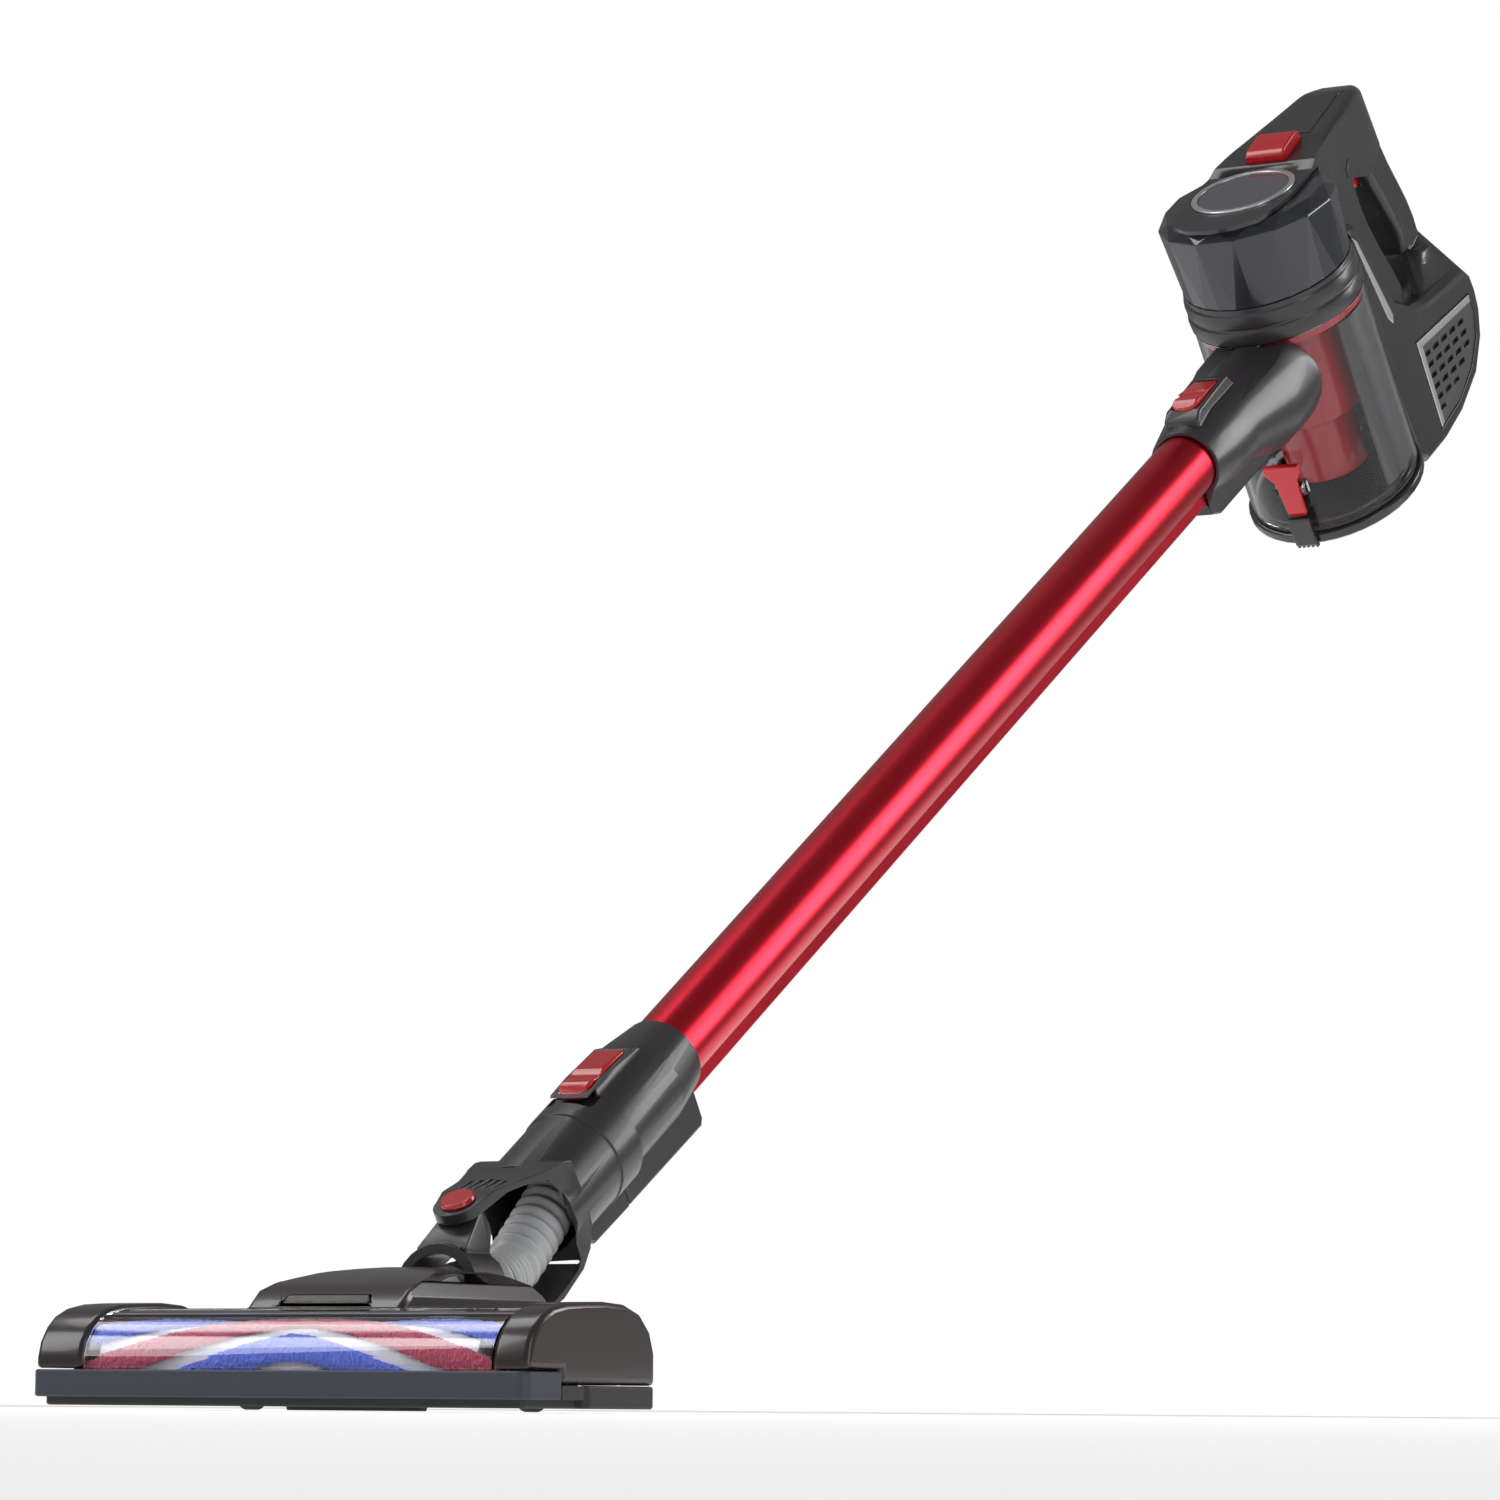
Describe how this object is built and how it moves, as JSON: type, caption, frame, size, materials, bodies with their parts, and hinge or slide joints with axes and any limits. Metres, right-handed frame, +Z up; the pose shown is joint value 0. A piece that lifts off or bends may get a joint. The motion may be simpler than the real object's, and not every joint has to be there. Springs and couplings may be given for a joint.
{
  "type": "cordless stick vacuum cleaner",
  "caption": "Battery stick vacuum: wide floor head with windowed brush roll, hinged swivel neck, slim metal wand, clear cyclone cup and loop-handled motor unit.",
  "frame": {"origin": "centre of the sole runner's flat face, on the floor, midway across the floor head", "axes": "+Z up from the floor, +Y from the head's brush side back along the wand towards the handle, +X across the head to the right of the user's view from the front"},
  "size_m": [0.2504, 1.1508, 0.7606],
  "materials": {
    "shell_dark": "gloss",
    "end_cap_dark": "gloss",
    "base_black": "matte",
    "bumper_rubber": "satin",
    "window_clear": "gloss",
    "lens_clear": "gloss",
    "led_cream": "satin",
    "roller_white": "matte",
    "pile_blue": "matte",
    "pile_red": "matte",
    "inner_black": "satin",
    "belt_rubber": "matte",
    "wheel_rubber": "matte",
    "steel_pin": "satin",
    "motor_can": "satin",
    "gloss_black": "gloss",
    "red_gloss": "gloss",
    "hose_grey": "satin",
    "wand_red": "satin",
    "cup_clear": "gloss",
    "lid_black": "gloss",
    "seal_rubber": "matte",
    "cyclone_red": "gloss",
    "filter_white": "matte",
    "smoke_tint": "gloss",
    "silver_paint": "satin",
    "badge_face": "satin",
    "cell_wrap": "satin",
    "board_green": "satin"
  },
  "bodies": {
    "hand_unit": {"cup_collar": "gloss_black", "motor_cap": "smoke_tint", "suction_motor": "motor_can", "main_body": "shell_dark", "top_housing": "shell_dark", "badge_ring": "silver_paint", "badge_disc": "badge_face", "top_panel": "gloss_black", "grille_left": "inner_black", "grille_right": "inner_black", "grille_trim_left": "silver_paint", "grille_trim_right": "silver_paint", "accent_trim_left": "silver_paint", "accent_trim_right": "silver_paint", "battery_pack": "cell_wrap", "battery_door": "base_black", "control_board": "board_green", "charge_socket": "inner_black"},
    "fan": {"impeller": "inner_black"},
    "power_trigger": {"trigger": "red_gloss"},
    "cup_button": {"cup_release": "red_gloss"},
    "cup": {"dust_cup": "cup_clear", "intake_duct": "gloss_black", "cyclone": "cyclone_red", "pleated_filter": "filter_white", "cup_liner": "smoke_tint"},
    "lid": {"cup_lid": "lid_black", "lid_seal": "seal_rubber", "latch_clip": "lid_black"},
    "lid_lever": {"lid_latch": "red_gloss"},
    "intake_button": {"intake_release": "red_gloss"},
    "wand": {"wand_tube": "wand_red", "wand_collar": "gloss_black"},
    "neck_button": {"neck_release": "red_gloss"},
    "neck": {"swivel_neck": "gloss_black", "swivel_pin_top": "red_gloss", "swivel_pin_bottom": "inner_black", "neck_hose": "hose_grey"},
    "elbow": {"elbow": "gloss_black"},
    "head": {"head_base": "base_black", "head_cover": "shell_dark", "left_end_cap": "end_cap_dark", "right_end_cap": "end_cap_dark", "brush_window": "window_clear", "front_bumper": "bumper_rubber", "lamp_lens": "lens_clear", "led_board": "led_cream", "brush_bearing_left": "inner_black", "brush_bearing_right": "inner_black", "drive_belt": "belt_rubber", "brush_motor": "motor_can", "wheel_axle_left": "steel_pin", "wheel_axle_right": "steel_pin"},
    "cap_latch": {"end_cap_latch": "base_black"},
    "brush_roll": {"brush_core": "roller_white", "pile_blue": "pile_blue", "pile_red": "pile_red"},
    "belt_pinion": {"motor_pulley": "steel_pin"},
    "left_wheel": {"wheel_left": "wheel_rubber"},
    "right_wheel": {"wheel_right": "wheel_rubber"}
  },
  "joints": [
    {"name": "cup_slide", "type": "slide", "parent": "hand_unit", "child": "cup", "axis": [0, 0.6361, -0.7716], "range_m": [0, 0.05]},
    {"name": "fan_spin", "type": "hinge", "parent": "hand_unit", "child": "fan", "pos_m": [0, 0.9699, 0.5264], "axis": [0, -0.6361, 0.7716], "continuous": true},
    {"name": "trigger_pull", "type": "hinge", "parent": "hand_unit", "child": "power_trigger", "pos_m": [0, 0.97438, 0.72156], "axis": [1, 0, 0], "range_deg": [0, 7], "stiffness_Nm_per_rad": 0.25, "springref_deg": -8.59},
    {"name": "cup_button_press", "type": "slide", "parent": "hand_unit", "child": "cup_button", "axis": [0, 0.7062, -0.708], "range_m": [0, 0.0016], "stiffness_N_per_m": 250, "springref_m": -0.002},
    {"name": "lid_open", "type": "hinge", "parent": "cup", "child": "lid", "pos_m": [0, 1.01662, 0.56453], "axis": [1, 0, 0], "range_deg": [0, 80]},
    {"name": "lid_lever_tilt", "type": "hinge", "parent": "cup", "child": "lid_lever", "pos_m": [0, 0.90851, 0.51742], "axis": [1, 0, 0], "range_deg": [-8, 0], "stiffness_Nm_per_rad": 0.12, "springref_deg": 8.59},
    {"name": "intake_button_press", "type": "slide", "parent": "cup", "child": "intake_button", "axis": [0, 0.5476, -0.8368], "range_m": [0, 0.0016], "stiffness_N_per_m": 250, "springref_m": -0.002},
    {"name": "wand_slide", "type": "slide", "parent": "cup", "child": "wand", "axis": [0, -0.8368, -0.5476], "range_m": [0, 0.045]},
    {"name": "neck_button_press", "type": "slide", "parent": "wand", "child": "neck_button", "axis": [0, 0.5476, -0.8368], "range_m": [0, 0.0016], "stiffness_N_per_m": 250, "springref_m": -0.002},
    {"name": "neck_slide", "type": "slide", "parent": "wand", "child": "neck", "axis": [0, -0.8368, -0.5476], "range_m": [0, 0.02]},
    {"name": "head_swivel", "type": "hinge", "parent": "neck", "child": "elbow", "pos_m": [0, 0.092, 0.065], "axis": [0, -0.5476, 0.8368], "range_deg": [-60, 60], "deforming": ["neck_hose"]},
    {"name": "head_pitch", "type": "hinge", "parent": "elbow", "child": "head", "pos_m": [0, 0.069, 0.041], "axis": [1, 0, 0], "range_deg": [-33, 52], "deforming": ["neck_hose"]},
    {"name": "cap_latch_press", "type": "slide", "parent": "head", "child": "cap_latch", "axis": [-1, 0, 0], "range_m": [0, 0.0012], "stiffness_N_per_m": 250, "springref_m": -0.002},
    {"name": "brush_spin", "type": "hinge", "parent": "head", "child": "brush_roll", "pos_m": [0, -0.037, 0.0198], "axis": [1, 0, 0], "continuous": true},
    {"name": "pinion_spin", "type": "hinge", "parent": "head", "child": "belt_pinion", "pos_m": [0, 0.008, 0.0226], "axis": [1, 0, 0], "continuous": true},
    {"name": "left_wheel_roll", "type": "hinge", "parent": "head", "child": "left_wheel", "pos_m": [-0.072, 0.025, 0.008], "axis": [1, 0, 0], "continuous": true},
    {"name": "right_wheel_roll", "type": "hinge", "parent": "head", "child": "right_wheel", "pos_m": [0.072, 0.025, 0.008], "axis": [1, 0, 0], "continuous": true}
  ],
  "couplings": [
    {"joint": "pinion_spin", "follows": "brush_spin", "ratio": 2}
  ]
}
